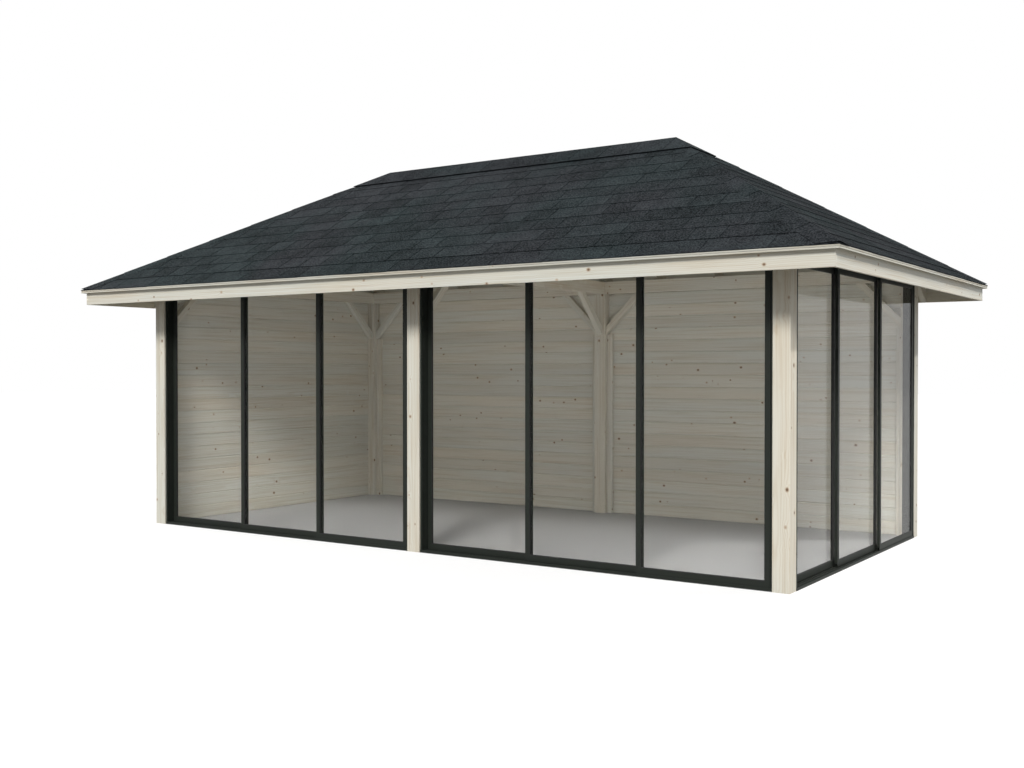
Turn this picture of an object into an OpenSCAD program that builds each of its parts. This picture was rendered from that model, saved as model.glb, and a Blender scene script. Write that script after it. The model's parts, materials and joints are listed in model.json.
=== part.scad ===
// Glazed garden gazebo: six timber posts under a hipped, shingled roof, boarded at the back and
// at the left end, with three-track sliding glass doors in the other three bays.
// Millimetres, +Z up, origin on the ground at the middle of the plan, front towards -Y.

/* [Plan] */
// Distance between post centres along the front
bay_pitch = 3000; // [2600:10:3400]
// Distance between post centres from front to back
depth_pitch = 2960; // [2600:10:3400]
// Side of the square posts and width of the beams
post_w = 120; // [110:2:140]
// Height of the posts
post_h = 2180; // [2050:10:2400]
// Planed-off corners of the posts
post_chamfer = 4; // [1:0.5:8]
// Height of the beams on the posts
beam_h = 120; // [100:5:160]

/* [Walls and braces] */
// Thickness of the boarded walls
wall_t = 28; // [20:1:30]
// Width of the upright battens that hold the back wall's boards
batten_w = 50; // [30:1:70]
// Thickness of those battens
batten_t = 40; // [20:1:50]
// How far a brace reaches along the beam and down the post
brace_reach = 400; // [300:10:600]
// Width of a brace across its face
brace_w = 60; // [40:2:80]
// Thickness of a brace from front to back
brace_t = 56; // [40:2:58]

/* [Roof] */
// Slope of the roof in degrees
roof_pitch = 30; // [24:1:36]
// Reach of the fascia's face beyond the posts
eave_reach = 430; // [300:10:550]
// Height of the fascia boards
fascia_h = 125; // [115:5:160]
// Thickness of the fascia boards
fascia_t = 20; // [15:1:30]
// Reach of the roof boards beyond the fascia
board_nosing = 34; // [15:1:60]
// Thickness of the roof boards
roof_board_t = 19; // [15:1:28]
// Thickness of the rafters and of the ridge board
rafter_w = 45; // [35:1:60]
// Depth of the rafters, square to the slope
rafter_d = 115; // [95:5:140]
// Distance between rafter centres
rafter_pitch = 600; // [450:10:700]
// Length of the level seat that a rafter has on its beam
seat_len = 60; // [30:5:80]
// Thickness of the hip rafters
hip_w = 60; // [45:1:80]
// Depth of the ridge board
ridge_d = 145; // [120:5:200]

/* [Shingles] */
// Thickness of the shingle covering
shingle_t = 6; // [4:0.5:10]
// Reach of the shingles beyond the roof boards
shingle_nosing = 4; // [2:1:20]
// Width of the hip capping on each side of the hip
hip_cap_w = 110; // [80:5:160]
// Thickness of the hip capping
hip_cap_t = 4; // [3:0.5:8]
// Reach of the ridge cap from the ridge, in plan
cap_reach = 245; // [180:5:350]
// Thickness of the ridge cap
cap_t = 14; // [10:1:25]

/* [Sliding doors] */
// Thickness of a door leaf's frame
leaf_t = 22; // [20:1:24]
// Width of the stiles, which is also the overlap of two leaves
stile_w = 36; // [28:1:60]
// Height of a leaf's bottom rail
bottom_rail_h = 44; // [40:1:70]
// Height of a leaf's top rail
top_rail_h = 30; // [25:1:60]
// Thickness of the glass
glass_t = 8; // [6:1:10]
// Depth that the glass is let into its frame
glass_edge = 12; // [8:1:15]
// Distance between the tracks
track_pitch = 33; // [32:1:34]
// Running gap round a leaf
leaf_clear = 5; // [5:0.5:6]
// Thickness of the jambs
jamb_t = 16; // [12:1:30]
// Distance of the front door sets behind the posts' outer faces
front_setback = 14; // [8:1:20]
// Reach of the end door set beyond the posts' outer faces
end_reach = 3; // [0:1:6]
// Thickness of the sill's plate
sill_h = 12; // [8:1:20]
// Thickness of the head's plate
head_h = 10; // [8:1:20]
// Thickness of the lips along the sill and the head
lip_t = 3; // [2:0.5:4]
// Height of the lips and rails on the sill
rail_h = 8; // [6:1:12]
// Width of a rail that the rollers run on
rail_w = 4; // [3:0.5:5]
// Drop of the head's lips and fins
fin_drop = 20; // [15:1:40]
// Thickness of the fins between the head's channels
fin_t = 2; // [1.5:0.5:3]
// Thickness of the tongue that guides a leaf in its channel
tongue_t = 10; // [8:1:14]
// Diameter of the rollers
roller_d = 20; // [16:1:22]
// Width of the rollers
roller_w = 8; // [6:1:9]
// Diameter of the roller pins
pin_d = 6; // [4:1:8]
// Distance of a roller's pin from the leaf's edge
roller_inset = 120; // [60:10:250]

/* [Hidden] */
// Gap between pieces that rest on or against each other
fit = 0.3;
// Running gap between a roller and its rail
roller_gap = 0.3;
slope = tan(roof_pitch);
out_x = bay_pitch + post_w / 2;
out_y = (depth_pitch + post_w) / 2;
ridge_half = out_x - out_y;
plate_z = post_h + beam_h;
rafter_plumb = rafter_d / cos(roof_pitch);
board_plumb = roof_board_t / cos(roof_pitch);
shingle_plumb = shingle_t / cos(roof_pitch);
// Underside of the roof boards, where their two long slopes meet
ridge_under_z = plate_z + rafter_plumb + (out_y - seat_len) * slope;
board_reach = eave_reach + board_nosing;
shingle_reach = board_reach + shingle_nosing;
shingle_lift = board_plumb + fit;
cap_lift = shingle_lift + shingle_plumb + fit;
tall = ridge_under_z + cap_lift + cap_t + post_w;
// Half the gap along a mitre
mitre_gap = fit / 2;
hip_gap = (hip_w / 2 + fit) * sqrt(2);

// Depth of a door set from its outer lip to its inner lip
leaf_count = 3;
frame_d = 2 * (lip_t + leaf_clear) + leaf_t + (leaf_count - 1) * track_pitch;
leaf_z = sill_h + leaf_clear;
leaf_top = post_h - head_h - fin_drop - leaf_clear;
tongue_top = post_h - head_h - leaf_clear;
roller_slot = rail_w + 2 * leaf_clear;
roller_z = sill_h + rail_h + roller_gap + roller_d / 2;
slot_top = roller_z + roller_d / 2 + 1;

// Each glazed bay: name, outer corner of its door set, turn about Z and clear width
DOOR_BAYS = [
    ["front_left", [-bay_pitch + post_w / 2, front_setback - out_y, 0], 0, bay_pitch - post_w],
    ["front_right", [post_w / 2, front_setback - out_y, 0], 0, bay_pitch - post_w],
    ["right_end", [out_x + end_reach, post_w - out_y, 0], 90, depth_pitch - post_w],
];
LEAVES = [for (leaf = [0 : leaf_count - 1]) leaf];

POST_SIDES = ["left", "middle", "right"];
POST_ROWS = ["front", "back"];

function post_name(row, side) = str("post_", POST_ROWS[row], "_", POST_SIDES[side]);
function bay_frame_name(bay) = str(bay[0], "_door_frame");
function leaf_frame_name(bay, leaf) = str(bay[0], "_door_", leaf + 1, "_frame");
function leaf_glass_name(bay, leaf) = str(bay[0], "_door_", leaf + 1, "_glass");

PINE = [0.86, 0.81, 0.72];
SHADED_PINE = [0.72, 0.65, 0.54];
ANTHRACITE = [0.17, 0.19, 0.18];
GLASS = [0.62, 0.66, 0.66, 0.45];
SLATE = [0.19, 0.21, 0.22];

// Height of the roof boards' underside at a distance out from the ridge
function under_z(run) = ridge_under_z - run * slope;

// Width of one leaf in an opening, and the place of its edge along it
function leaf_w(clear) = (clear - 2 * (jamb_t + leaf_clear) + (leaf_count - 1) * stile_w) / leaf_count;
function leaf_u(clear, leaf) = jamb_t + leaf_clear + leaf * (leaf_w(clear) - stile_w);
// Middle of a leaf's track behind the set's outer lip; the first leaf runs on the inner track
function track_v(leaf) =
    lip_t + leaf_clear + leaf_t / 2 + (leaf_count - 1 - leaf) * track_pitch;

// A block from one corner to the opposite one
module block(low, high) {
    translate(low) cube(high - low);
}

// A post, standing at the middle of its place
module post() {
    half = post_w / 2;
    inner = half - post_chamfer;
    linear_extrude(post_h)
        polygon([
            [-inner, -half], [inner, -half], [half, -inner], [half, inner],
            [inner, half], [-inner, half], [-half, inner], [-half, -inner],
        ]);
}

module post_at(row, side) {
    color(PINE)
        translate([(side - 1) * bay_pitch, (row - 1 / 2) * depth_pitch, 0])
            post();
}

module long_beams() {
    color(PINE)
        for (turn = [0, 180])
            rotate([0, 0, turn])
                block([-out_x, -out_y, post_h + fit], [out_x, post_w - out_y, plate_z]);
}

// The beams from front to back, over both ends and across the middle
module end_beams() {
    inner_y = out_y - post_w - fit;
    half = post_w / 2;
    color(PINE)
        for (place = [-1 : 1])
            translate([place * bay_pitch, 0, 0])
                block([-half, -inner_y, post_h + fit], [half, inner_y, plate_z]);
}

// A brace in the corner of a post, at zero, and the beam over it
module knee_brace() {
    foot = post_h - brace_reach;
    cut = brace_w * sqrt(2);
    rotate([90, 0, 0])
        linear_extrude(brace_t, center = true)
            polygon([
                [fit, foot + fit], [fit, foot + cut],
                [brace_reach - cut, post_h], [brace_reach - fit, post_h],
            ]);
}

// Both braces of a bay that is centred on zero
module brace_pair(clear) {
    for (side = [0, 1])
        mirror([side, 0, 0])
            translate([-clear / 2, 0, 0])
                knee_brace();
}

module knee_braces() {
    color(PINE) {
        for (side = [-1, 1])
            translate([side * bay_pitch / 2, depth_pitch / 2, 0])
                brace_pair(bay_pitch - post_w);
        for (place = [-bay_pitch, 0])
            translate([place, 0, 0])
                rotate([0, 0, 90])
                    brace_pair(depth_pitch - post_w);
    }
}

// The boarded filling of a bay that is centred on zero, flush with the posts' outer faces
module wall_panel(clear) {
    half = clear / 2 - fit;
    block([-half, post_w / 2 - wall_t, 0], [half, post_w / 2, post_h]);
}

// An upright batten at each end of a wall panel, on its inner face and below the braces
module wall_battens(clear) {
    half = clear / 2 - fit;
    face = post_w / 2 - wall_t;
    for (side = [0, 1])
        mirror([side, 0, 0])
            block([-half, face - batten_t, 0], [batten_w - half, face + fit, post_h - brace_reach - fit]);
}

module wall_back(side) {
    color(PINE)
        translate([side * bay_pitch / 2, depth_pitch / 2, 0]) {
            wall_panel(bay_pitch - post_w);
            wall_battens(bay_pitch - post_w);
        }
}

module wall_left() {
    color(PINE)
        translate([-bay_pitch, 0, 0])
            rotate([0, 0, 90])
                wall_panel(depth_pitch - post_w);
}

// Places its children in a glazed bay: X along the opening, Y inwards from the set's outer lip
module in_bay(bay) {
    translate(bay[1]) rotate([0, 0, bay[2]]) children();
}

// The sill: a plate with a lip along each edge and a rail on each track
module sill_track(clear) {
    rail_u = jamb_t + 2 * fit;
    block([fit, 0, 0], [clear - fit, frame_d, sill_h]);
    for (edge = [0, frame_d - lip_t])
        block([fit, edge, 0], [clear - fit, edge + lip_t, sill_h + rail_h]);
    for (leaf = LEAVES)
        block([rail_u, track_v(leaf) - rail_w / 2, 0],
            [clear - rail_u, track_v(leaf) + rail_w / 2, sill_h + rail_h]);
}

// The head: a plate with a lip along each edge and a fin between the tracks
module head_track(clear) {
    low = post_h - head_h - fin_drop;
    fin_u = jamb_t + 2 * fit;
    block([fit, 0, post_h - head_h], [clear - fit, frame_d, post_h]);
    for (edge = [0, frame_d - lip_t])
        block([fit, edge, low], [clear - fit, edge + lip_t, post_h]);
    for (leaf = [1 : leaf_count - 1]) {
        middle = track_v(leaf) + track_pitch / 2;
        block([fin_u, middle - fin_t / 2, low], [clear - fin_u, middle + fin_t / 2, post_h]);
    }
}

// A jamb against the post at zero, between the lips of the sill and the head
module jamb() {
    block([fit, lip_t + fit, sill_h + fit],
        [jamb_t, frame_d - lip_t - fit, post_h - head_h - fit]);
}

module door_frame(bay) {
    clear = bay[3];
    color(ANTHRACITE)
        in_bay(bay) {
            sill_track(clear);
            head_track(clear);
            jamb();
            translate([clear, 0, 0])
                mirror([1, 0, 0])
                    jamb();
        }
}

// A roller on its pin, between the walls of the bottom rail
module roller() {
    rotate([90, 0, 0]) {
        cylinder(h = roller_w, d = roller_d, center = true, $fn = 48);
        cylinder(h = leaf_t - fit, d = pin_d, center = true, $fn = 32);
    }
}

// A leaf's frame: stiles and rails round the glass, a slot for the rail below, a tongue above
module leaf_frame(bay, leaf) {
    width = leaf_w(bay[3]);
    half = leaf_t / 2;
    groove = glass_t / 2 + fit;
    open_low = [stile_w, leaf_z + bottom_rail_h];
    open_high = [width - stile_w, leaf_top - top_rail_h];
    color(ANTHRACITE)
        in_bay(bay)
            translate([leaf_u(bay[3], leaf), track_v(leaf), 0]) {
                difference() {
                    block([0, -half, leaf_z], [width, half, leaf_top]);
                    block([open_low[0], -leaf_t, open_low[1]], [open_high[0], leaf_t, open_high[1]]);
                    block([open_low[0] - glass_edge, -groove, open_low[1] - glass_edge],
                        [open_high[0] + glass_edge, groove, open_high[1] + glass_edge]);
                    block([-fit, -roller_slot / 2, 0], [width + fit, roller_slot / 2, slot_top]);
                }
                block([0, -tongue_t / 2, leaf_top - fit], [width, tongue_t / 2, tongue_top]);
                for (u = [roller_inset, width - roller_inset])
                    translate([u, 0, roller_z])
                        roller();
            }
}

// A leaf's pane, let into the groove of its frame
module leaf_glass(bay, leaf) {
    edge = glass_edge - fit;
    width = leaf_w(bay[3]);
    color(GLASS)
        in_bay(bay)
            translate([leaf_u(bay[3], leaf), track_v(leaf), 0])
                block([stile_w - edge, -glass_t / 2, leaf_z + bottom_rail_h - edge],
                    [width - stile_w + edge, glass_t / 2, leaf_top - top_rail_h + edge]);
}

// Everything under a hipped surface whose ridge is at peak_z, reaching past the posts by reach
module hip_tent(peak_z, reach) {
    half_x = out_x + reach;
    half_y = out_y + reach;
    eave_z = peak_z - half_y * slope;
    intersection() {
        rotate([90, 0, 90])
            linear_extrude(2 * half_x, center = true)
                polygon([[-half_y, 0], [half_y, 0], [half_y, eave_z], [0, peak_z], [-half_y, eave_z]]);
        rotate([90, 0, 0])
            linear_extrude(2 * half_y, center = true)
                polygon([
                    [-half_x, 0], [half_x, 0], [half_x, eave_z],
                    [ridge_half, peak_z], [-ridge_half, peak_z], [-half_x, eave_z],
                ]);
    }
}

// A folded skin over the hipped surface, with upright edges
module hip_shell(lift, thick, reach) {
    peak = ridge_under_z + lift;
    difference() {
        hip_tent(peak + thick / cos(roof_pitch), reach);
        hip_tent(peak, reach + 1);
    }
}

// Places its children on both long slopes, or both end slopes, with X running out from the ridge
module on_long_slopes() {
    for (turn = [90, 270])
        rotate([0, 0, turn])
            children();
}

module on_end_slopes() {
    for (turn = [0, 180])
        rotate([0, 0, turn])
            translate([ridge_half, 0, 0])
                children();
}

// A profile of run and height, drawn along a slope and mitred at the hips by gap
module slope_piece(profile, flat_half, gap) {
    far = out_y + shingle_reach + post_w;
    near_points = flat_half > 0 ? [[gap, flat_half], [gap, -flat_half]] : [[gap, 0]];
    far_half = flat_half + far - gap;
    intersection() {
        rotate([90, 0, 0])
            linear_extrude(2 * far_half, center = true)
                polygon(profile);
        linear_extrude(tall)
            polygon(concat(near_points, [[far, -far_half], [far, far_half]]));
    }
}

// The profile of a layer of the roof, with an upright edge at the eave
function layer_profile(lift, plumb, reach) =
    let (eave = out_y + reach)
    [
        [0, under_z(0) + lift],
        [eave, under_z(eave) + lift],
        [eave, under_z(eave) + lift + plumb],
        [0, under_z(0) + lift + plumb],
    ];

module roof_boards_long() {
    color(SHADED_PINE)
        on_long_slopes()
            slope_piece(layer_profile(0, board_plumb, board_reach), ridge_half, mitre_gap);
}

module roof_boards_ends() {
    color(SHADED_PINE)
        on_end_slopes()
            slope_piece(layer_profile(0, board_plumb, board_reach), 0, mitre_gap);
}

module shingles_long() {
    color(SLATE)
        on_long_slopes()
            slope_piece(layer_profile(shingle_lift, shingle_plumb, shingle_reach), ridge_half, mitre_gap);
}

module shingles_ends() {
    color(SLATE)
        on_end_slopes()
            slope_piece(layer_profile(shingle_lift, shingle_plumb, shingle_reach), 0, mitre_gap);
}

// A fascia board, bevelled on top to lie under the roof boards
function fascia_profile() =
    let (face = out_y + eave_reach, back = face - fascia_t)
    [
        [face, under_z(face) - fascia_h],
        [face, under_z(face) - fit],
        [back, under_z(back) - fit],
        [back, under_z(face) - fascia_h],
    ];

module fascia_long() {
    color(PINE)
        on_long_slopes()
            slope_piece(fascia_profile(), ridge_half, mitre_gap);
}

module fascia_ends() {
    color(PINE)
        on_end_slopes()
            slope_piece(fascia_profile(), 0, mitre_gap);
}

// A rafter from head to fascia, with a seat cut over the beam
function rafter_profile(head) =
    let (
        tail = out_y + eave_reach - fascia_t - fit,
        heel = out_y + fit,
        seat_end = out_y - seat_len - fit / slope
    )
    [
        [head, under_z(head) - fit],
        [tail, under_z(tail) - fit],
        [tail, under_z(tail) - rafter_plumb],
        [heel, under_z(heel) - rafter_plumb],
        [heel, plate_z + fit],
        [seat_end, plate_z + fit],
        [head, under_z(head) - rafter_plumb],
    ];

module rafter(head) {
    rotate([90, 0, 0])
        linear_extrude(rafter_w, center = true)
            polygon(rafter_profile(head));
}

// The rafter on the middle line of an end slope, pointed where the long slopes come down to it
module king_rafter() {
    intersection() {
        rafter(fit);
        translate([-ridge_half, 0, 0])
            hip_tent(ridge_under_z - fit, eave_reach);
    }
}

// The plan of a slope between the faces of its two hip rafters
module between_hips(flat_half) {
    near = max(hip_gap - flat_half, 0);
    far = out_y + eave_reach;
    near_half = flat_half + near - hip_gap;
    far_half = flat_half + far - hip_gap;
    near_points = near_half > 0 ? [[near, near_half], [near, -near_half]] : [[near, 0]];
    linear_extrude(tall)
        polygon(concat(near_points, [[far, -far_half], [far, far_half]]));
}

// Common and jack rafters: one on the middle line, then pairs out to the corner posts
module rafters() {
    ridge_face = rafter_w / 2 + fit;
    long_count = floor(bay_pitch / rafter_pitch);
    end_count = floor((depth_pitch - post_w) / 2 / rafter_pitch);
    color(SHADED_PINE) {
        on_long_slopes()
            for (place = [-long_count : long_count])
                intersection() {
                    translate([0, place * rafter_pitch, 0])
                        rafter(ridge_face);
                    between_hips(ridge_half);
                }
        on_end_slopes() {
            king_rafter();
            for (place = [1 : end_count], side = [-1, 1])
                intersection() {
                    translate([0, side * place * rafter_pitch, 0])
                        rafter(ridge_face);
                    between_hips(0);
                }
        }
    }
}

// A hip rafter towards +X and +Y, bevelled under both slopes and seated on the beams' corner
module hip_rafter() {
    tail = (out_y + eave_reach) * sqrt(2);
    low_head = ridge_under_z - rafter_plumb;
    low_tail = low_head - tail * slope / sqrt(2);
    difference() {
        intersection() {
            translate([ridge_half, 0, 0])
                rotate([90, 0, 45])
                    linear_extrude(hip_w, center = true)
                        polygon([
                            [-hip_w, low_head + hip_w * slope / sqrt(2)], [tail, low_tail],
                            [tail, low_head + rafter_plumb], [-hip_w, low_head + 2 * rafter_plumb],
                        ]);
            hip_tent(ridge_under_z - fit, eave_reach - fascia_t - fit);
            block([0, rafter_w / 2 + fit, 0], [out_x + eave_reach, out_y + eave_reach, tall]);
        }
        block([0, 0, 0], [out_x + fit, out_y + fit, plate_z + fit]);
    }
}

module hip_rafters() {
    color(SHADED_PINE)
        for (over_x = [0, 1], over_y = [0, 1])
            mirror([over_x, 0, 0])
                mirror([0, over_y, 0])
                    hip_rafter();
}

module ridge_board() {
    half = rafter_w / 2;
    color(SHADED_PINE)
        rotate([90, 0, 90])
            linear_extrude(2 * ridge_half, center = true)
                polygon([
                    [-half, ridge_under_z - ridge_d], [half, ridge_under_z - ridge_d],
                    [half, under_z(half) - fit], [0, ridge_under_z - fit], [-half, under_z(half) - fit],
                ]);
}

// Folded shingles over each hip, from the eave up to the ridge cap
module hip_caps() {
    length = (out_y + shingle_reach) * sqrt(2);
    cap_x = ridge_half + cap_reach + fit;
    cap_y = cap_reach + fit;
    color(SLATE)
        for (over_x = [0, 1], over_y = [0, 1])
            mirror([over_x, 0, 0])
                mirror([0, over_y, 0])
                    difference() {
                        intersection() {
                            hip_shell(cap_lift, hip_cap_t, shingle_reach);
                            translate([ridge_half, 0, 0])
                                rotate([0, 0, 45])
                                    block([0, -hip_cap_w, 0], [length, hip_cap_w, tall]);
                        }
                        block([0, -cap_y, 0], [cap_x, cap_y, tall]);
                    }
}

module ridge_cap() {
    color(SLATE)
        hip_shell(cap_lift, cap_t, cap_reach - out_y);
}

for (row = [0, 1], side = [0 : 2])
    post_at(row, side);
long_beams();
end_beams();
knee_braces();
wall_back(-1);  // wall_back_left
wall_back(1);  // wall_back_right
wall_left();
for (bay = DOOR_BAYS)
    door_frame(bay);
for (bay = DOOR_BAYS, leaf = LEAVES) {
    leaf_frame(bay, leaf);
    leaf_glass(bay, leaf);
}
ridge_board();
hip_rafters();
rafters();
fascia_long();
fascia_ends();
roof_boards_long();
roof_boards_ends();
shingles_long();
shingles_ends();
hip_caps();
ridge_cap();
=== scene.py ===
import json
import math
import random

import bmesh
import bpy
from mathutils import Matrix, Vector

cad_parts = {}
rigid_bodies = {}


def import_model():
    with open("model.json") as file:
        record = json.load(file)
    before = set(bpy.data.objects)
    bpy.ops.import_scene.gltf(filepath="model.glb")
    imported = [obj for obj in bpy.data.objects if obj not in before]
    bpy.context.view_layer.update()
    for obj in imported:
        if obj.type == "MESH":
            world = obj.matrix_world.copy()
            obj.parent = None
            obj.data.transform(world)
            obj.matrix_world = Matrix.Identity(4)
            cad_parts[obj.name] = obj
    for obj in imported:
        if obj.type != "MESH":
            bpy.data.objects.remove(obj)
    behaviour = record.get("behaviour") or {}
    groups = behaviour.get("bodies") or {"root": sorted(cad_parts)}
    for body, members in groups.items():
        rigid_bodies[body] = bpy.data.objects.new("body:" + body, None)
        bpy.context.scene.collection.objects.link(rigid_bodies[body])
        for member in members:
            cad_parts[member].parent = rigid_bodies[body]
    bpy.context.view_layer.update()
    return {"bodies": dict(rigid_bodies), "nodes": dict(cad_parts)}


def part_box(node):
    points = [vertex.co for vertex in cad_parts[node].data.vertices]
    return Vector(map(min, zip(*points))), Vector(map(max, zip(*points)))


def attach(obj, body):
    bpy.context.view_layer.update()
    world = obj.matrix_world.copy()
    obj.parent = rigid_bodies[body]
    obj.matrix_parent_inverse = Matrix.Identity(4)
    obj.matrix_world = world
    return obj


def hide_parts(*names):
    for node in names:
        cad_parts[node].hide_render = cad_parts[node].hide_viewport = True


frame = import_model()
nodes = frame["nodes"]
scene = bpy.context.scene
UP = Vector((0, 0, 1))

# Sizes of what is added here, in metres
WALL_T = 0.028
WALL_BOARDS = 19
WALL_GROOVE = 0.006
BATTEN_W = 0.050
BATTEN_EASE = 0.003
BRACE_REACH = 0.400
BRACE_W = 0.060
BRACE_T = 0.056
BRACE_EASE = 0.003
BEAM_EASE = 0.002
RAFTER_EASE = 0.0015
ROOF_BOARD_W = 0.116
ROOF_BOARD_GAP = 0.0015
ROOF_BOARD_GROOVE = 0.003
# How far from the ridge the boards of the long slopes stop, and those of the end slopes
LONG_BOARDS_FROM = 0.001
END_BOARDS_FROM = 0.040
# The groove in the roof's edge: shares of the boards' thickness and of the groove's depth
EDGE_GROOVE = ((0.38, 0.0), (0.46, 1.0), (0.58, 1.0), (0.66, 0.0))
EDGE_GROOVE_DEPTH = 0.006
MITRE_GAP = 0.0005
SHINGLE_T = 0.0028
SHINGLE_LIFT = 0.0005
SHINGLE_ROWS = 11
SHINGLE_TABS = (0.228, 0.455)
SHINGLE_JOINT = 0.009
SHINGLE_STAGGER = 0.040
SHINGLE_JITTER = 0.002
SHINGLE_NOSING = 0.001
SHINGLE_LAP = 0.030
# How far from the ridge the highest shingles start, and the share of their row that shows
SHINGLES_FROM = 0.030
TOP_ROW_SHOWN = 0.5
# How far the lower edge is raised in the first row and in the others, in shingle thicknesses
FIRST_ROW_RISE = 1.1
ROW_RISE = 2.2
# The strip under the first row: its width in rows, and how far its edge stands back
STARTER_ROWS = 1.3
STARTER_SETBACK = 0.004
HIP_CAP_W = 0.110
HIP_CAP_STEP = 0.270
# Height of the hip caps' fold, and the lift of their lower end, in shingle thicknesses
HIP_FOLD_RISE = 3.8
HIP_CAP_LIFT = 2
CAP_UNDER = 0.0125
CAP_TOP = 0.0195
CAP_EDGE = 0.045
CAP_TAB = 0.300
CAP_JITTER = 0.001
FRAME_EASE = 0.0008
GLASS_EDGE = 0.0117
GASKET_W = 0.005
GASKET_TAPER = 0.6
GASKET_T = 0.004
GASKET_GAP = 0.0002
WELD_GAP = 0.00001
SHARP_ANGLE = math.radians(40)

# Seeds of the random numbers
WALL_SEED = 11
BRACE_SEED = 21
LONG_BOARDS_SEED = 31
END_BOARDS_SEED = 32
LONG_SHINGLES_SEED = 41
END_SHINGLES_SEED = 42
HIP_CAP_SEED = 51
RIDGE_CAP_SEED = 52
GASKET_SEED = 61
# The numbers of whole timbers: the first one, and the step to the next
POST_NUMBERS = (0.13, 0.149)
BEAM_NUMBERS = (0.21, 0.173)

# The building's main lines, read from the frame
POST_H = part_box("post_front_left")[1].z
OUT_X, OUT_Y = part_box("long_beams")[1].xy
POST_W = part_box("post_front_right")[1].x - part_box("post_front_right")[0].x
RIDGE_HALF = OUT_X - OUT_Y
EAVE_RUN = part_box("roof_boards_long")[1].y
SHINGLE_RUN = EAVE_RUN + SHINGLE_NOSING
CAP_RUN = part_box("ridge_cap")[1].y
ROOF_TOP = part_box("roof_boards_long")[1].z
ROOF_PITCH = math.radians(30)
COS, SIN = math.cos(ROOF_PITCH), math.sin(ROOF_PITCH)
ROOF_BOARD_T = (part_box("roof_boards_long")[0].z - ROOF_TOP + EAVE_RUN * SIN / COS) * -COS

# The photograph's camera, and the light
CAMERA_AT = (5.642, -8.555, 1.423)
CAMERA_TURN = (89.315, 0.0, 33.858)
CAMERA_LENS = 40.29
CAMERA_SENSOR = 36.0
# Each lamp: name, where it shines from, strength and spread in degrees
LAMPS = [
    ("front_lamp", Vector((0.30, -0.78, 0.55)), 2.5, 14.0),
    ("end_lamp", Vector((0.589, 0.472, 0.656)), 1.6, 2.0),
    ("left_lamp", Vector((-0.90, 0.10, 0.42)), 1.3, 20.0),
]
LAMP_COLOUR = (1.0, 0.985, 0.955)
AMBIENT = 0.48
AMBIENT_COLOUR = (0.90, 0.97, 1.06, 1)
FLOOR_HALF = 60.0
FLOOR_GREY = (0.185, 0.178, 0.168, 1)
ROOM_GREY = (0.48, 0.48, 0.48, 1)
FLOOR_GLOW = 0.86

# Colours
PALE_PINE = (0.77, 0.755, 0.69, 1)
DARK_PINE = (0.60, 0.525, 0.41, 1)
COOL_PINE = (0.93, 0.98, 1.00, 1)
WARM_PINE = (1.00, 0.94, 0.86, 1)
KNOT_RING = (0.46, 0.32, 0.20, 1)
KNOT_HEART = (0.15, 0.092, 0.055, 1)
# How much of its light the roof's pine keeps: painted shade under the roof
ROOF_PAINTED_SHADE = 0.92
GRANULE_DARK = (0.003, 0.004, 0.005, 1)
GRANULE_PALE = (0.0455, 0.0518, 0.0562, 1)
GRANULE_GREEN = (0.86, 1.00, 0.97, 1)
GRANULE_GREY = (1.03, 0.99, 1.01, 1)
# What is added to the random numbers of the end slopes' shingles, which makes them darker: painted shade on
# the end slopes
END_SLOPE_PAINTED_SHADE = -0.45
# The number of a shingle's cut edges, which are black
CUT_EDGE = -1.0
ANTHRACITE = (0.0146, 0.0175, 0.0143, 1)
GLASS_TINT = (0.865, 0.87, 0.875, 1)
GLASS_SHADE = (0.72, 0.72, 0.71, 1)
GLASS_IOR = 1.10
RUBBER = (0.012, 0.012, 0.012, 1)

# Pine: lengths in metres, and each pattern's scale along, across and into the wood
WALL_KNOTS = 8.5
FRAME_KNOTS = 11.0
KNOT_STRETCH = (0.8, 1.0, 1.0)
KNOT_RADIUS = 0.0035
KNOT_SPREAD = 0.006
SHIFT_ALONG = 31.7
SHIFT_DEEP = 5.3
BOARD_DEPTH = 0.03
RAFTER_STRIPS = 5.0
WANDER_SCALE = (0.9, 7.0, 7.0)
WANDER = 0.05
STREAK_SCALE = (1.4, 60.0, 60.0)
FIBRE_SCALE = (14.0, 700.0, 700.0)
PATCH_SCALE = (0.8, 5.0, 5.0)
PITH_ASIDE = 0.07
PITH_DEPTH = 0.02
PITH_SPREAD = 0.05
# Turns of the ring pattern, in radians: in a metre from the pith, and round a knot
RING_TURNS = 520.0
KNOT_TURNS = 5.0
PINE_RELIEF = 0.0006
# Where a knot's heart, its ring and the swirl round it start and are full, in knot radii
HEART_STEP = (1.15, 0.7)
RING_STEP = (2.0, 1.0)
SWIRL_STEP = (6.0, 0.5)
# Where streaks and warm patches start and are full, in noise of 0 to 1
STREAK_STEP = (0.42, 0.75)
PATCH_STEP = (0.3, 0.7)
# How sharp late wood is, and the shares of the dark colour that it, streaks and fibres bring
LATE_WOOD_POWER = 2.5
LATE_WOOD_DARK = 0.34
STREAK_DARK = 0.5
FIBRE_DARK = 0.14
# Warmth and level: the least, and what patches and each board's own number add
LEAST_WARMTH = 0.1
PATCH_WARMTH = 0.45
BOARD_WARMTH = 0.3
LEAST_LEVEL = 0.94
BOARD_LEVEL = 0.12
# Shares of a knot's two colours, and of the relief of late wood, fibres and hearts
RING_SHARE = 0.75
HEART_SHARE = 0.9
LATE_WOOD_RELIEF = 0.35
FIBRE_RELIEF = 0.4
HEART_RELIEF = -0.3

# A shingle's light: what clumps, single granules, stains and the tab's own number add, less a level
CLUMP_LIGHT = 0.76
GRANULE_LIGHT = 0.24
STAIN_LIGHT = 0.18
TAB_LIGHT = 0.28
LIGHT_LESS = 0.22
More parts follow.
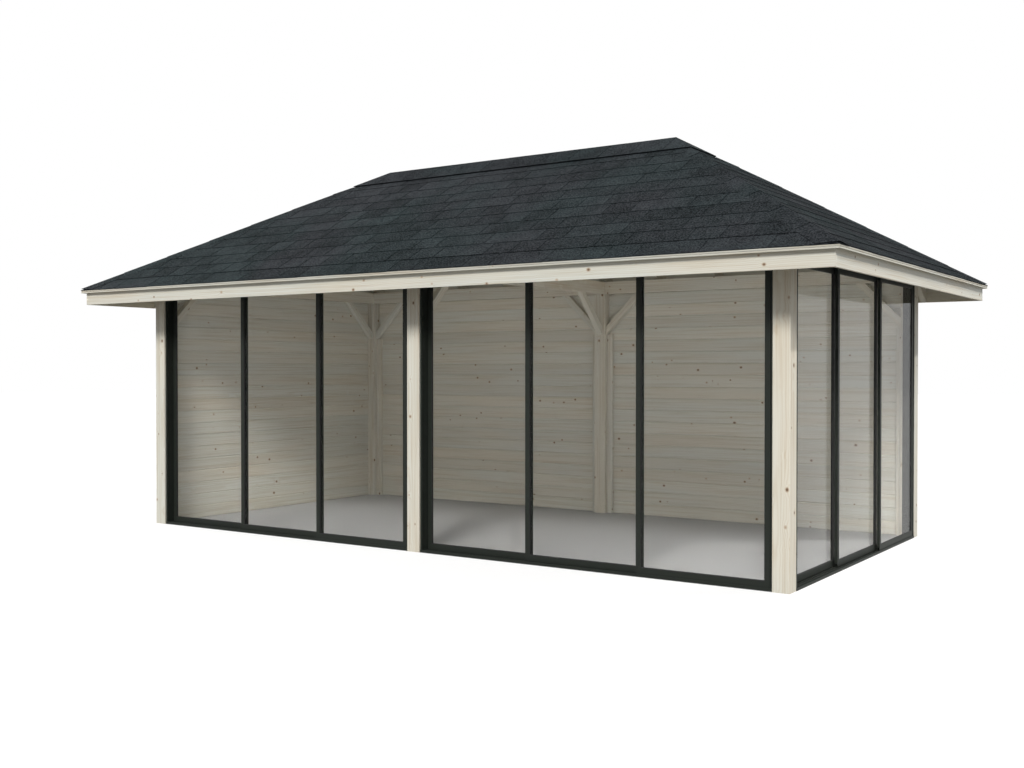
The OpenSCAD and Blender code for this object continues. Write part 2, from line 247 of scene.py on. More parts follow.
# Where clumps, stains and the second tone start and are full, in noise of 0 to 1
CLUMP_STEP = (0.36, 0.64)
STAIN_STEP = (0.35, 0.65)
TONE_STEP = (0.35, 0.65)

# The other materials: each pattern's scale in a metre, and relief in metres
GRANULE_SCALE = 380.0
CLUMP_SCALE = 90.0
STAIN_SCALE = 5.5
TONE_SCALE = 1.1
GRANULE_RELIEF = 0.003
SKIN_SCALE = 900.0
SKIN_RELIEF = 0.0002
CLOUD_SCALE = 3.0
DUST_SCALE = 60.0
DUST_RELIEF = 0.0003


class Shader:
    """A material's node tree, with short calls for the nodes that are used here."""

    def __init__(self, name):
        self.material = bpy.data.materials.new(name)
        self.material.use_nodes = True
        self.tree = self.material.node_tree
        self.surface = self.tree.nodes["Principled BSDF"]

    def feed(self, socket, value):
        """Links a socket to another one, or gives it a plain value."""
        if isinstance(value, bpy.types.NodeSocket):
            self.tree.links.new(value, socket)
        else:
            socket.default_value = value

    def add(self, kind, inputs=None, **settings):
        node = self.tree.nodes.new("ShaderNode" + kind)
        for key, value in settings.items():
            setattr(node, key, value)
        for key, value in (inputs or {}).items():
            self.feed(node.inputs[key], value)
        return node

    def math(self, operation, first, second=0.0, third=0.0):
        node = self.add("Math", {0: first, 1: second, 2: third}, operation=operation)
        return node.outputs[0]

    def vector(self, x, y, z):
        return self.add("CombineXYZ", {0: x, 1: y, 2: z}).outputs[0]

    def stretched(self, vector, factors):
        return self.add("VectorMath", {0: vector, 1: factors}, operation="MULTIPLY").outputs[0]

    def noise(self, vector, scale=1.0, detail=2.0):
        inputs = {"Vector": vector, "Scale": scale, "Detail": detail}
        return self.add("TexNoise", inputs).outputs["Fac"]

    def ramp(self, value, low, high):
        """A smooth step from 0 at low to 1 at high."""
        inputs = {"Value": value, "From Min": low, "From Max": high}
        return self.add("MapRange", inputs, interpolation_type="SMOOTHSTEP").outputs[0]

    def another(self, number, factor):
        """Another random number from 0 to 1, made from a first one."""
        return self.math("FRACT", self.math("MULTIPLY", number, factor))

    def mixed(self, factor, first, second, mode="MIX"):
        inputs = {"Fac": factor, "Color1": first, "Color2": second}
        return self.add("MixRGB", inputs, blend_type=mode).outputs[0]

    def bumped(self, height, depth):
        """Sets the surface's bump from a height of 0 to 1 and its depth in metres."""
        node = self.add("Bump", {"Height": height, "Distance": depth, "Strength": 1.0})
        self.feed(self.surface.inputs["Normal"], node.outputs[0])

    def finish(self, **inputs):
        """Sets the surface's sockets by name, with _ for a space."""
        for key, value in inputs.items():
            self.feed(self.surface.inputs[key.replace("_", " ")], value)
        return self.material


# Grain functions give the place along, across and deep in the wood, in metres, and a random number


def board_grain(s):
    """For the boards that are made here: their grain map, and each one's own random number."""
    place = s.add("SeparateXYZ", {0: s.add("UVMap", uv_map="grain").outputs[0]}).outputs
    ident = s.add("Attribute", attribute_name="ident").outputs["Fac"]
    return place[0], place[1], s.math("MULTIPLY", ident, BOARD_DEPTH), ident


def solid_grain(axis, spot, ident):
    """For straight timbers along one axis, and their mirror images, measured from a line through a spot."""

    def grain(s):
        place = s.add("SeparateXYZ", {0: s.add("TexCoord").outputs["Object"]}).outputs
        sides = [side for side in range(3) if side != axis]
        local = []
        for side in sides:
            away = s.math("ABSOLUTE", place[side]) if spot[side] else place[side]
            local.append(s.math("SUBTRACT", away, abs(spot[side])))
        random_number = s.add("Value")
        random_number.outputs[0].default_value = ident
        return place[axis], local[1], local[0], random_number.outputs[0]

    return grain


def rafter_grain(s):
    """For all the rafters: along the slope that each one lies in."""
    x, y, z = s.add("SeparateXYZ", {0: s.add("TexCoord").outputs["Object"]}).outputs
    long_run = s.math("ABSOLUTE", y)
    end_run = s.math("SUBTRACT", s.math("ABSOLUTE", x), RIDGE_HALF)
    run = s.math("MAXIMUM", long_run, end_run)
    on_long = s.math("GREATER_THAN", long_run, end_run)
    on_end = s.math("SUBTRACT", 1.0, on_long)
    sideways = s.math("MULTIPLY_ADD", x, on_long, s.math("MULTIPLY", y, on_end))
    along = s.math("SUBTRACT", s.math("MULTIPLY", run, COS), s.math("MULTIPLY", z, SIN))
    across = s.math("MULTIPLY_ADD", run, SIN, s.math("MULTIPLY", z, COS))
    strip = s.math("ROUND", s.math("MULTIPLY", sideways, RAFTER_STRIPS))
    return along, across, 0.0, s.another(strip, 0.377)


def pine(name, grain, knot_scale, shade=1.0):
    """Planed, untreated pine: growth rings that bend round dark knots, and fibres along the grain."""
    s = Shader(name)
    along, across, deep, ident = grain(s)
    moved = s.math("MULTIPLY_ADD", ident, SHIFT_ALONG, along)
    place = s.vector(moved, across, s.math("MULTIPLY_ADD", ident, SHIFT_DEEP, deep))

    # Knots: small balls set at random in the wood, longer along the grain
    knot_inputs = {"Vector": s.stretched(place, KNOT_STRETCH), "Scale": knot_scale}
    knots = s.add("TexVoronoi", knot_inputs)
    distance = s.math("DIVIDE", knots.outputs["Distance"], knot_scale)
    luck = s.add("SeparateXYZ", {0: knots.outputs["Color"]}).outputs[0]
    radius = s.math("MULTIPLY_ADD", luck, KNOT_SPREAD, KNOT_RADIUS)
    ratio = s.math("DIVIDE", distance, radius)
    heart = s.ramp(ratio, *HEART_STEP)
    ring = s.ramp(ratio, *RING_STEP)
    swirl = s.ramp(ratio, *SWIRL_STEP)

    # Growth rings round a pith behind the face, which wanders along the length
    wander = s.noise(s.stretched(place, WANDER_SCALE))
    pith_across = s.math("MULTIPLY_ADD", s.another(ident, 7.3), 2 * PITH_ASIDE, -PITH_ASIDE)
    pith_deep = s.math("MULTIPLY_ADD", s.another(ident, 3.9), PITH_SPREAD, PITH_DEPTH)
    side = s.math("SUBTRACT", across, pith_across)
    depth = s.math("ADD", deep, pith_deep)
    squares = s.math("ADD", s.math("MULTIPLY", side, side), s.math("MULTIPLY", depth, depth))
    pith_away = s.math("MULTIPLY_ADD", wander, WANDER, s.math("SQRT", squares))
    turns = s.math("MULTIPLY_ADD", swirl, KNOT_TURNS, s.math("MULTIPLY", pith_away, RING_TURNS))
    wave = s.math("MULTIPLY_ADD", s.math("SINE", turns), 0.5, 0.5)
    late_wood = s.math("POWER", wave, LATE_WOOD_POWER)
    streaks = s.noise(s.stretched(place, STREAK_SCALE), detail=3.0)
    fibres = s.noise(s.stretched(place, FIBRE_SCALE), detail=2.0)

    # Colour: darker in late wood, streaks and fibres, with a warmth and a level of its own for each board,
    # and painted shade for the pine under the roof
    streaked = s.math("MULTIPLY", s.ramp(streaks, *STREAK_STEP), STREAK_DARK)
    darker = s.math("MULTIPLY_ADD", late_wood, LATE_WOOD_DARK, streaked)
    darker = s.math("MULTIPLY_ADD", fibres, FIBRE_DARK, darker)
    colour = s.mixed(darker, PALE_PINE, DARK_PINE)
    own_warmth = s.math("MULTIPLY_ADD", s.another(ident, 13.7), BOARD_WARMTH, LEAST_WARMTH)
    patches = s.noise(s.stretched(place, PATCH_SCALE))
    warm = s.math("MULTIPLY_ADD", s.ramp(patches, *PATCH_STEP), PATCH_WARMTH, own_warmth)
    colour = s.mixed(1.0, colour, s.mixed(warm, COOL_PINE, WARM_PINE), "MULTIPLY")
    level = s.math("MULTIPLY", s.math("MULTIPLY_ADD", ident, BOARD_LEVEL, LEAST_LEVEL), shade)
    colour = s.mixed(1.0, colour, s.vector(level, level, level), "MULTIPLY")
    colour = s.mixed(s.math("MULTIPLY", ring, RING_SHARE), colour, KNOT_RING)
    colour = s.mixed(s.math("MULTIPLY", heart, HEART_SHARE), colour, KNOT_HEART)

    relief = s.math("MULTIPLY", fibres, FIBRE_RELIEF)
    relief = s.math("MULTIPLY_ADD", late_wood, LATE_WOOD_RELIEF, relief)
    s.bumped(s.math("MULTIPLY_ADD", heart, HEART_RELIEF, relief), PINE_RELIEF)
    rough = s.math("MULTIPLY_ADD", late_wood, -0.10, 0.66)
    return s.finish(Base_Color=colour, Roughness=rough, Specular_IOR_Level=0.28)


def shingle_material():
    """Mineral granules on bitumen, with a tone of its own for each tab, and black cut edges."""
    s = Shader("tab_shingle")
    place = s.add("TexCoord").outputs["Object"]
    granules = s.add("TexVoronoi", {"Vector": place, "Scale": GRANULE_SCALE})
    grain = s.add("SeparateXYZ", {0: granules.outputs["Color"]}).outputs[0]
    clumps = s.noise(place, CLUMP_SCALE, 3.0)
    patches = s.noise(place, TONE_SCALE, 3.0)
    stains = s.ramp(s.noise(place, STAIN_SCALE, 3.0), *STAIN_STEP)
    light = s.math("MULTIPLY", grain, GRANULE_LIGHT)
    light = s.math("MULTIPLY_ADD", s.ramp(clumps, *CLUMP_STEP), CLUMP_LIGHT, light)
    light = s.math("MULTIPLY_ADD", stains, STAIN_LIGHT, light)
    ident = s.add("Attribute", attribute_name="ident").outputs["Fac"]
    light = s.math("MULTIPLY_ADD", ident, TAB_LIGHT, s.math("SUBTRACT", light, LIGHT_LESS))
    light = s.math("MULTIPLY", light, s.math("GREATER_THAN", ident, CUT_EDGE / 2))
    colour = s.mixed(light, GRANULE_DARK, GRANULE_PALE)
    tone = s.mixed(s.ramp(patches, *TONE_STEP), GRANULE_GREEN, GRANULE_GREY)
    colour = s.mixed(1.0, colour, tone, "MULTIPLY")
    stones = s.math("MULTIPLY", granules.outputs["Distance"], 0.6)
    s.bumped(s.math("MULTIPLY_ADD", clumps, 0.6, stones), GRANULE_RELIEF)
    return s.finish(Base_Color=colour, Roughness=0.95, Diffuse_Roughness=1.0, Specular_IOR_Level=0.04)


def aluminium_material():
    """Anthracite powder coat, with its fine orange-peel skin."""
    s = Shader("anthracite_coat")
    place = s.add("TexCoord").outputs["Object"]
    skin = s.noise(place, SKIN_SCALE, 2.0)
    cloud = s.noise(place, CLOUD_SCALE, 3.0)
    pale = tuple(1.5 * part for part in ANTHRACITE[:3]) + (1,)
    s.bumped(skin, SKIN_RELIEF)
    rough = s.math("MULTIPLY_ADD", skin, 0.10, s.math("MULTIPLY_ADD", cloud, 0.10, 0.44))
    colour = s.mixed(s.math("MULTIPLY_ADD", skin, 0.3, s.math("MULTIPLY", cloud, 0.5)), ANTHRACITE, pale)
    return s.finish(Base_Color=colour, Roughness=rough, Specular_IOR_Level=0.17)


def glass_material():
    """Tinted float glass, which lets the lamps shine into the room."""
    s = Shader("tinted_glass")
    s.finish(Base_Color=GLASS_TINT, Transmission_Weight=1.0, Roughness=0.0, IOR=GLASS_IOR)
    clear = s.add("BsdfTransparent", {"Color": GLASS_SHADE})
    for_lamps = s.add("LightPath").outputs["Is Shadow Ray"]
    either = s.add("MixShader", {0: for_lamps, 1: s.surface.outputs[0], 2: clear.outputs[0]})
    s.feed(s.tree.nodes["Material Output"].inputs["Surface"], either.outputs[0])
    return s.material


def rubber_material():
    """Black rubber, dulled by dust."""
    s = Shader("gasket_rubber")
    dust = s.noise(s.add("TexCoord").outputs["Object"], DUST_SCALE, 4.0)
    s.bumped(dust, DUST_RELIEF)
    return s.finish(Base_Color=RUBBER, Roughness=s.math("MULTIPLY_ADD", dust, 0.2, 0.6))


class Pile:
    """Many small solids in one mesh, each with its grain map and its own random number.

    The numbers run from tone to tone + 1, and a higher one is paler; a tone below 0 is painted shade.
    """

    def __init__(self, seed, tone=0.0):
        self.random = random.Random(seed)
        self.tone = tone
        self.points, self.faces, self.grain, self.idents = [], [], [], []

    def face(self, corners, grain, ident):
        self.faces.append(corners)
        self.grain.extend(grain)
        self.idents.append(ident)

    def loft(self, rings, closed=False, cut=(), cut_ends=False):
        """A solid through rings of points. It has two end faces, or joins up if it is closed.

        The sides that are named in cut, and the ends if cut_ends is set, are bare cut edges.
        """
        ident = self.tone + self.random.random()
        size = len(rings[0])
        start = len(self.points)
        around = [0.0]
        for spot in range(size):
            around.append(around[-1] + (rings[0][(spot + 1) % size] - rings[0][spot]).length)
        for ring in rings:
            self.points.extend(ring)
        along = 0.0
        for place in range(len(rings) if closed else len(rings) - 1):
            other = (place + 1) % len(rings)
            step = (rings[other][0] - rings[place][0]).length
            for spot in range(size):
                beside = (spot + 1) % size
                corners = [start + place * size + spot, start + place * size + beside,
                           start + other * size + beside, start + other * size + spot]
                grain = [(along, around[spot]), (along, around[spot + 1]),
                         (along + step, around[spot + 1]), (along + step, around[spot])]
                self.face(corners, grain, CUT_EDGE if spot in cut else ident)
            along += step
        if not closed:
            end_ident = CUT_EDGE if cut_ends else ident
            for first in (start, start + (len(rings) - 1) * size):
                self.face(list(range(first, first + size)), [(0.0, v) for v in around[:size]], end_ident)

    def piece(self, name, material, body, slot, *replaced):
        """The mesh as a piece on a body, in place of some of its plain nodes."""
        mesh = bpy.data.meshes.new(name)
        mesh.from_pydata(self.points, [], self.faces)
        grain = mesh.uv_layers.new(name="grain")
        grain.data.foreach_set("uv", [part for spot in self.grain for part in spot])
        mesh.attributes.new("ident", "FLOAT", "FACE").data.foreach_set("value", self.idents)
        work = bmesh.new()
        work.from_mesh(mesh)
        bmesh.ops.recalc_face_normals(work, faces=work.faces)
        work.to_mesh(mesh)
        work.free()
        mesh.materials.append(material)
        piece = bpy.data.objects.new(name, mesh)
        scene.collection.objects.link(piece)
        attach(piece, body)
        if replaced:
            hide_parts(*replaced)
        return piece


class Slope:
    """One plane of the roof: u along the eave, s down from the ridge, h up from the boards' top."""

    def __init__(self, turn, ridge_out, flat_half):
        self.out = Vector((math.cos(turn), math.sin(turn), 0))
        self.along = Vector((-math.sin(turn), math.cos(turn), 0))
        self.down = self.out * COS - UP * SIN
        self.normal = self.out * SIN + UP * COS
        self.start = self.out * ridge_out + UP * ROOF_TOP
        self.flat_half = flat_half

    def point(self, u, s, h):
        return self.start + self.along * u + self.down * s + self.normal * h

    def half(self, s, h=0.0):
        """Half the width of the slope at a place, between the hips."""
        return self.flat_half + s * COS + h * SIN - MITRE_GAP


LONG_SLOPES = [Slope(turn, 0.0, RIDGE_HALF) for turn in (-math.pi / 2, math.pi / 2)]
END_SLOPES = [Slope(turn, RIDGE_HALF, 0.0) for turn in (0.0, math.pi)]


def plumb(run, h=0.0):
    """How far down a slope an upright face at a run from the ridge is, at height h."""
    return (run - h * SIN) / COS


def clipped(shape, inside):
    """The part of a flat shape where inside isn't negative."""
    kept = []
    for first, second in zip(shape, shape[1:] + shape[:1]):
        here, there = inside(first), inside(second)
        if here >= 0:
            kept.append(first)
        if here * there < 0:
            kept.append(first + (second - first) * (here / (here - there)))
    return kept


def eased(half_a, half_b, cut):
    """The corners of a rectangle whose edges are planed off."""
    return [
        (-half_a, cut - half_b), (cut - half_a, -half_b), (half_a - cut, -half_b), (half_a, cut - half_b),
        (half_a, half_b - cut), (half_a - cut, half_b), (cut - half_a, half_b), (-half_a, half_b - cut),
    ]


# Walls and braces


def wall_boarding(node, seed):
    """A wall of level boards, with a V-shaped joint between each two on both faces, and its battens."""
    low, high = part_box(node)
    run = 0 if high.x - low.x > high.y - low.y else 1
    thick = 1 - run
    outwards = 1 if high[thick] > -low[thick] else -1
    outer = high[thick] if outwards > 0 else low[thick]
    pitch = (high.z - low.z) / WALL_BOARDS
    section = eased(WALL_T / 2, pitch / 2, WALL_GROOVE)
    pile = Pile(seed)
    for row in range(WALL_BOARDS):
        rings = []
        for end in (low[run], high[run]):
            ring = []
            for across, rise in section:
                spot = Vector((0, 0, low.z + (row + 0.5) * pitch + rise))
                spot[run] = end
                spot[thick] = outer - outwards * WALL_T / 2 + across
                ring.append(spot)
            rings.append(ring)
        pile.loft(rings)
    batten_t = high[thick] - low[thick] - WALL_T
    if batten_t > MITRE_GAP:
        for end in (low[run] + BATTEN_W / 2, high[run] - BATTEN_W / 2):
            foot = Vector((0, 0, low.z))
            foot[run] = end
            foot[thick] = outer - outwards * (WALL_T + batten_t / 2)
            wall_batten(pile, foot, run, batten_t)
    return pile.piece(node + "_boards", board_pine, "root", "pine", node)


def wall_batten(pile, foot, run, thickness):
    """An upright batten against a wall, from its foot up to the brace."""
    rings = []
    for rise in (0.0, POST_H - BRACE_REACH - MITRE_GAP):
        ring = []
        for along, across in eased(BATTEN_W / 2, thickness / 2, BATTEN_EASE):
            spot = foot + UP * rise
            spot[run] += along
            spot[1 - run] += across
            ring.append(spot)
        rings.append(ring)
    pile.loft(rings)


def knee_braces():
    """Braces between the posts and the beams, on the boarded sides and under the middle beam."""
    pile = Pile(BRACE_SEED)
    section = eased(BRACE_W / 2, BRACE_T / 2, BRACE_EASE)
    drop = BRACE_REACH - BRACE_W / math.sqrt(2)
    mid_x, mid_y = OUT_X - POST_W / 2, OUT_Y - POST_W / 2
    corners = []
    for side in (-1, 1):
        for post in (0, side * mid_x):
            towards = side if post == 0 else -side
            corners.append((Vector((post, mid_y, POST_H)), Vector((towards, 0, 0))))
        for post in (-mid_x, 0):
            corners.append((Vector((post, side * mid_y, POST_H)), Vector((0, -side, 0))))
    for corner, towards in corners:
        beside = UP.cross(towards)
        face = corner + towards * (POST_W / 2)
        rings = [[], []]
        for across, aside in section:
            shift = across * math.sqrt(2)
            rings[0].append(face + beside * aside - UP * (drop + shift))
            rings[1].append(face + beside * aside + towards * (drop + shift))
        pile.loft(rings)
    return pile.piece("corner_braces", board_pine, "root", "pine", "knee_braces")


# The roof


def roof_boarding(name, slopes, ridge_run, seed, node):
    """Boards along each slope, the lowest with an upright, grooved edge, mitred at the hips."""
    pile = Pile(seed)
    bottom, ease = -ROOF_BOARD_T, ROOF_BOARD_GROOVE
    rows = math.ceil(plumb(EAVE_RUN) / ROOF_BOARD_W)
    for slope in slopes:
        for row in range(rows):
            low = plumb(EAVE_RUN) - row * ROOF_BOARD_W
            high = low - ROOF_BOARD_W + ROOF_BOARD_GAP
            section = [(high, bottom + ease), (high, 0.0)]
            if row == rows - 1:
                section = [(plumb(ridge_run, bottom), bottom), (plumb(ridge_run), 0.0)]
            if row == 0:
                for share, deep in ((0.0, 0.0), *EDGE_GROOVE, (1.0, 0.0)):
                    h = share * bottom
                    section.append((plumb(EAVE_RUN, h) - deep * EDGE_GROOVE_DEPTH, h))
            else:
                section += [(low, 0.0), (low, bottom + ease), (low - ease, bottom)]
            if row < rows - 1:
                section.append((high + ease, bottom))
            ends = [[slope.point(side * slope.half(s, h), s, h) for s, h in section] for side in (-1, 1)]
            pile.loft(ends)
    return pile.piece(name, soffit_pine, "root", "roof_pine", node)


def shingle_tab(pile, slope, left, right, top, low, rise):
    """One tab, cut to the hips, lying on the rows below it with its lower edge raised."""
    low_left = low + pile.random.uniform(-SHINGLE_JITTER, SHINGLE_JITTER)
    low_right = low + pile.random.uniform(-SHINGLE_JITTER, SHINGLE_JITTER)
    shape = [Vector((left, top)), Vector((right, top)), Vector((right, low_right)), Vector((left, low_left))]
    for side in (-1, 1):
        shape = clipped(shape, lambda spot: slope.half(spot.y) - side * spot.x)
    if len(shape) < 3:
        return
    rings = []
    for thick in (0.0, SHINGLE_T):
        heights = [SHINGLE_LIFT + rise * (spot.y - top) / (low - top) + thick for spot in shape]
        rings.append([slope.point(spot.x, spot.y, h) for spot, h in zip(shape, heights)])
    pile.loft(rings, cut=range(len(shape)))


def shingle_rows(name, slopes, seed, tone, node):
    """Rows of tabs from the eave up to the ridge cap, each over more than half of the one below it."""
    # A tone below 0, as on the end slopes, paints shade over the whole slope
    pile = Pile(seed, tone)
    eave = plumb(SHINGLE_RUN)
    exposure = (eave - plumb(CAP_RUN)) / (SHINGLE_ROWS - 1 + TOP_ROW_SHOWN)
    length = 2 * exposure + SHINGLE_LAP
    for slope in slopes:
        half = slope.half(eave)
        shingle_tab(pile, slope, -half, half, eave - STARTER_ROWS * exposure, eave - STARTER_SETBACK, 0.0)
        joints = []
        for row in range(SHINGLE_ROWS):
            low = eave - row * exposure
            top = max(low - length, plumb(SHINGLES_FROM))
            rise = SHINGLE_T * (FIRST_ROW_RISE if row == 0 else ROW_RISE)
            left = -slope.half(low) - pile.random.uniform(0.0, SHINGLE_TABS[0])
            joints_below, joints = joints, []
            while left < slope.half(low):
                right = left + pile.random.choice(SHINGLE_TABS)
                while any(abs(right - joint) < SHINGLE_STAGGER for joint in joints_below):
                    right += SHINGLE_STAGGER
                shingle_tab(pile, slope, left, right - SHINGLE_JOINT, top, low, rise)
                joints.append(right)
                left = right
    return pile.piece(name, tab_shingle, "root", "shingles", node)


def hip_capping():
    """Folded tabs over each hip, each lapped by the next one up."""
    pile = Pile(HIP_CAP_SEED)
    top = SHINGLE_LIFT + HIP_FOLD_RISE * SHINGLE_T
    fold_length = math.hypot(COS, 1.0)
    for long_slope in LONG_SLOPES:
        for end_slope in END_SLOPES:
            wings = []
            for slope, other in ((long_slope, end_slope), (end_slope, long_slope)):
                wings.append((slope, math.copysign(1.0, slope.along.dot(other.out))))
            run = SHINGLE_RUN
            while run > CAP_RUN + HIP_CAP_STEP / 4:
                top_run = max(run - 2 * HIP_CAP_STEP, CAP_RUN)
                rings = []
                for place, lift in ((run, HIP_CAP_LIFT * SHINGLE_T), (top_run, 0.0)):
                    rings.append(hip_ring(wings, place, top, lift, fold_length))
                pile.loft(rings, cut=(2, 5), cut_ends=True)
                run -= HIP_CAP_STEP
    return pile.piece("hip_shingles", tab_shingle, "root", "shingles", "hip_caps")


def hip_ring(wings, run, top, lift, fold_length):
    """The section of a folded tab across a hip, whose wings have thicker edges where it is lifted."""
    bed = SHINGLE_LIFT + SHINGLE_T
    rows = []
    for height, edge_h in ((bed, bed), (top + lift, bed + SHINGLE_LIFT + lift)):
        edges = []
        for slope, side in wings:
            across = HIP_CAP_W / fold_length
            edge_s = plumb(run, edge_h) + across * COS
            spare = max(edge_s - plumb(SHINGLE_RUN, edge_h), 0.0)
            edge_u = slope.flat_half + run - across - spare * COS
            edges.append(slope.point(side * edge_u, edge_s - spare, edge_h))
        slope, side = wings[0]
        fold = slope.point(side * (slope.flat_half + run), plumb(run, height), height)
        rows.append([edges[0], fold, edges[1]])
    return rows[0] + rows[1][::-1]


def ridge_capping():
    """Tabs over the ridge and down its four sides, on a strip that stands back under their edge."""
    pile = Pile(RIDGE_CAP_SEED)
    seat = SHINGLE_LIFT + 2 * SHINGLE_T
    for slope in LONG_SLOPES + END_SLOPES:
        strip = [(plumb(0.0, CAP_UNDER), CAP_UNDER), (plumb(CAP_RUN - CAP_EDGE, CAP_UNDER), CAP_UNDER),
                 (plumb(CAP_RUN - CAP_EDGE, seat), seat), (plumb(0.0, seat), seat)]
        pile.loft([[slope.point(side * slope.half(s, h), s, h) for s, h in strip] for side in (-1, 1)])
        low = plumb(CAP_RUN, CAP_UNDER)
        far = slope.half(low, CAP_UNDER)
        left = -far - pile.random.uniform(0.0, CAP_TAB)
        while left < far:
            top = CAP_TOP - pile.random.uniform(0.0, CAP_JITTER)
            tab = [(plumb(0.0, top), top), (plumb(CAP_RUN, top), top), (low, CAP_UNDER),
                   (plumb(0.0, CAP_UNDER), CAP_UNDER)]
            rings = []
            for edge in (left, left + CAP_TAB - SHINGLE_JOINT / 2):
                ring = []
                for s, h in tab:
                    half = slope.half(s, h)
                    ring.append(slope.point(min(max(edge, -half), half), s, h))
                rings.append(ring)
            pile.loft(rings, cut=(1,), cut_ends=True)
            left += CAP_TAB
    return pile.piece("ridge_shingles", tab_shingle, "root", "shingles", "ridge_cap")


# The sliding doors


def glazing_gasket(body):
    """Rubber strips that hold the pane in its frame, on both faces."""
    low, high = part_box(body + "_glass")
    thin = 0 if high.x - low.x < high.y - low.y else 1
    wide = 1 - thin
    middle = (low[thin] + high[thin]) / 2
    pane = (high[thin] - low[thin]) / 2 + GASKET_GAP
    section = [(GASKET_GAP, pane), (GASKET_W, pane), (GASKET_W * GASKET_TAPER, pane + GASKET_T),
               (GASKET_GAP, pane + GASKET_T)]
    corners = [(1, 1), (-1, 1), (-1, -1), (1, -1)]
    pile = Pile(GASKET_SEED)
    for face in (-1, 1):
        rings = []
        for to_wide, to_up in corners:
            edge_wide = low[wide] + GLASS_EDGE if to_wide > 0 else high[wide] - GLASS_EDGE
            edge_up = low.z + GLASS_EDGE if to_up > 0 else high.z - GLASS_EDGE
            ring = []
            for inset, depth in section:
                spot = Vector((0, 0, edge_up + to_up * inset))
                spot[wide] = edge_wide + to_wide * inset
                spot[thin] = middle + face * depth
                ring.append(spot)
            rings.append(ring)
        pile.loft(rings, closed=True)
    return pile.piece(body + "_gasket", gasket_rubber, body, "door_aluminium")


def dress(node, material, ease=0.0):
    """Gives a plain node its material and, where ease is set, slightly rounded edges."""
    piece = nodes[node]
    piece.data.materials.clear()
    piece.data.materials.append(material)
    if ease:
        weld = piece.modifiers.new("weld", "WELD")
        weld.merge_threshold = WELD_GAP
        bevel = piece.modifiers.new("bevel", "BEVEL")
        bevel.width = ease
        bevel.segments = 2
        bevel.limit_method = "ANGLE"
        bevel.angle_limit = SHARP_ANGLE


# Materials

board_pine = pine("board_pine", board_grain, WALL_KNOTS)
# The pine under the roof, soffit and rafters, is darkened as painted shade
soffit_pine = pine("soffit_pine", board_grain, WALL_KNOTS, ROOF_PAINTED_SHADE)
rafter_pine = pine("rafter_pine", rafter_grain, WALL_KNOTS, ROOF_PAINTED_SHADE)
tab_shingle = shingle_material()
anthracite = aluminium_material()
tinted_glass = glass_material()
gasket_rubber = rubber_material()

# Posts, beams and fascia

first, step = POST_NUMBERS
for index, node in enumerate(sorted(name for name in nodes if name.startswith("post_"))):
    low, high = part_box(node)
    grain = solid_grain(2, (low + high) / 2, first + step * index)
    dress(node, pine(node + "_pine", grain, FRAME_KNOTS))
first, step = BEAM_NUMBERS
for index, (node, axis) in enumerate((("long_beams", 0), ("fascia_long", 0), ("ridge_board", 0),
                                      ("end_beams", 1), ("fascia_ends", 1))):
    grain = solid_grain(axis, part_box(node)[1], first + step * index)
    dress(node, pine(node + "_pine", grain, FRAME_KNOTS), BEAM_EASE)
for node in ("rafters", "hip_rafters"):
    dress(node, rafter_pine, RAFTER_EASE)

# Walls, roof and doors

for index, node in enumerate(("wall_back_left", "wall_back_right", "wall_left")):
    wall_boarding(node, WALL_SEED + index)
knee_braces()
roof_boarding("roof_boarding_long", LONG_SLOPES, LONG_BOARDS_FROM, LONG_BOARDS_SEED, "roof_boards_long")
roof_boarding("roof_boarding_ends", END_SLOPES, END_BOARDS_FROM, END_BOARDS_SEED, "roof_boards_ends")
shingle_rows("shingle_rows_long", LONG_SLOPES, LONG_SHINGLES_SEED, 0.0, "shingles_long")
# The end slopes' shingles get painted shade through their lower tone
shingle_rows("shingle_rows_ends", END_SLOPES, END_SHINGLES_SEED, END_SLOPE_PAINTED_SHADE, "shingles_ends")
hip_capping()
ridge_capping()
for node in nodes:
    if node.endswith("_frame"):
        dress(node, anthracite, FRAME_EASE)
    elif node.endswith("_glass"):
        dress(node, tinted_glass)
for body in frame["bodies"]:
    if body != "root":
        glazing_gasket(body)


# Floor, light and camera


def any_of(s, names):
    """1 for rays of any of these kinds."""
    light_path = s.add("LightPath")
    kinds = [light_path.outputs[name] for name in names]
    total = kinds[0]
    for kind in kinds[1:]:
        total = s.math("MAXIMUM", total, kind)
    return total


SEEN = ("Is Camera Ray", "Is Glossy Ray", "Is Transmission Ray")


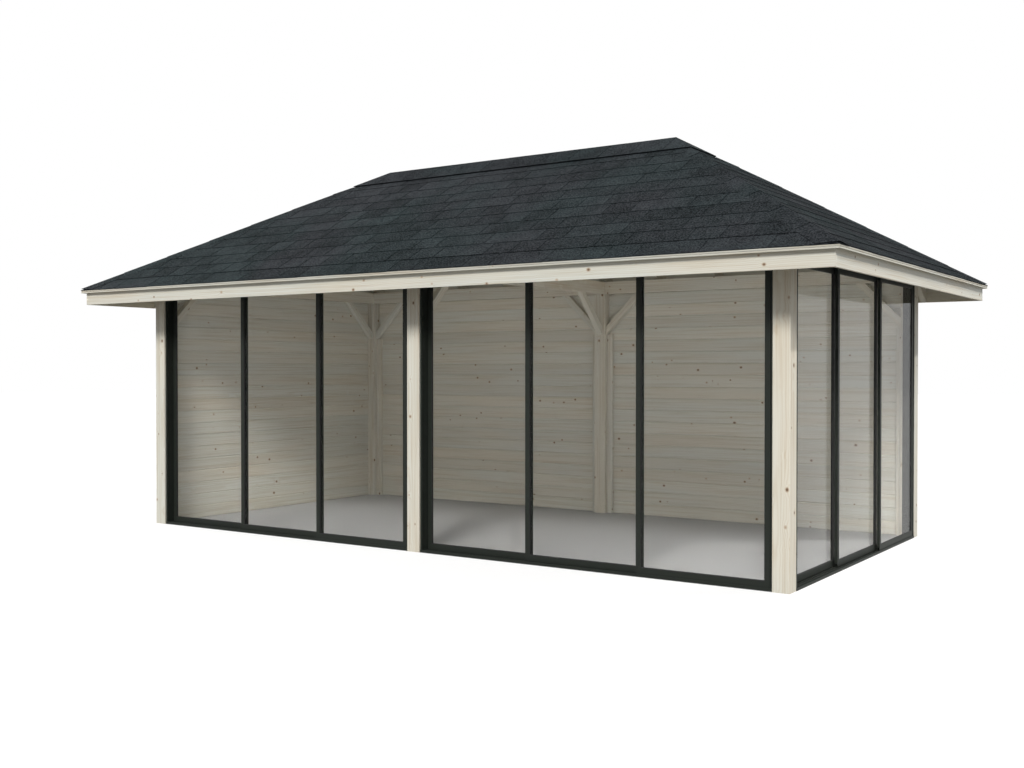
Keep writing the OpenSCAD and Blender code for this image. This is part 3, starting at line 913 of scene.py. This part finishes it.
def make_floor():
    """A wide floor that shows as white, with a grey patch inside the building."""
    mesh = bpy.data.meshes.new("floor")
    signs = [(-1, -1), (1, -1), (1, 1), (-1, 1)]
    mesh.from_pydata([(x * FLOOR_HALF, y * FLOOR_HALF, 0) for x, y in signs], [], [(0, 1, 2, 3)])
    floor = bpy.data.objects.new("floor", mesh)
    scene.collection.objects.link(floor)
    s = Shader("pale_floor")
    place = s.add("SeparateXYZ", {0: s.add("TexCoord").outputs["Object"]}).outputs
    past_x = s.math("GREATER_THAN", s.math("ABSOLUTE", place[0]), OUT_X)
    past_y = s.math("GREATER_THAN", s.math("ABSOLUTE", place[1]), OUT_Y)
    outside = s.math("MAXIMUM", past_x, past_y)
    glow = s.math("MULTIPLY", s.math("MULTIPLY", any_of(s, SEEN), outside), FLOOR_GLOW)
    s.finish(Base_Color=s.mixed(outside, ROOM_GREY, FLOOR_GREY), Roughness=1.0, Specular_IOR_Level=0.0,
             Emission_Color=(1, 1, 1, 1), Emission_Strength=glow)
    mesh.materials.append(s.material)


class WorldShader(Shader):
    """The same short calls for the world's node tree."""

    def __init__(self, name):
        self.material = bpy.data.worlds.new(name)
        self.material.use_nodes = True
        self.tree = self.material.node_tree
        self.surface = self.tree.nodes["Background"]


def make_light():
    """Soft light from all round, a backdrop that shows as white, and the lamps."""
    s = WorldShader("studio")
    seen = any_of(s, SEEN)
    strength = s.math("MULTIPLY_ADD", seen, 1.0 - AMBIENT, AMBIENT)
    scene.world = s.finish(Color=s.mixed(seen, AMBIENT_COLOUR, (1, 1, 1, 1)), Strength=strength)
    for name, shines_from, strength, spread in LAMPS:
        lamp = bpy.data.objects.new(name, bpy.data.lights.new(name, "SUN"))
        lamp.data.color = LAMP_COLOUR
        lamp.data.energy = strength
        lamp.data.angle = math.radians(spread)
        lamp.rotation_euler = shines_from.to_track_quat("Z", "Y").to_euler()
        scene.collection.objects.link(lamp)


def make_camera():
    """The photograph's camera, as it was solved from the photo."""
    camera = bpy.data.objects.new("camera", bpy.data.cameras.new("camera"))
    camera.data.sensor_width = CAMERA_SENSOR
    camera.data.lens = CAMERA_LENS
    camera.location = CAMERA_AT
    camera.rotation_euler = [math.radians(turn) for turn in CAMERA_TURN]
    scene.collection.objects.link(camera)
    scene.camera = camera


make_floor()
make_light()
make_camera()
scene.view_settings.view_transform = "Standard"
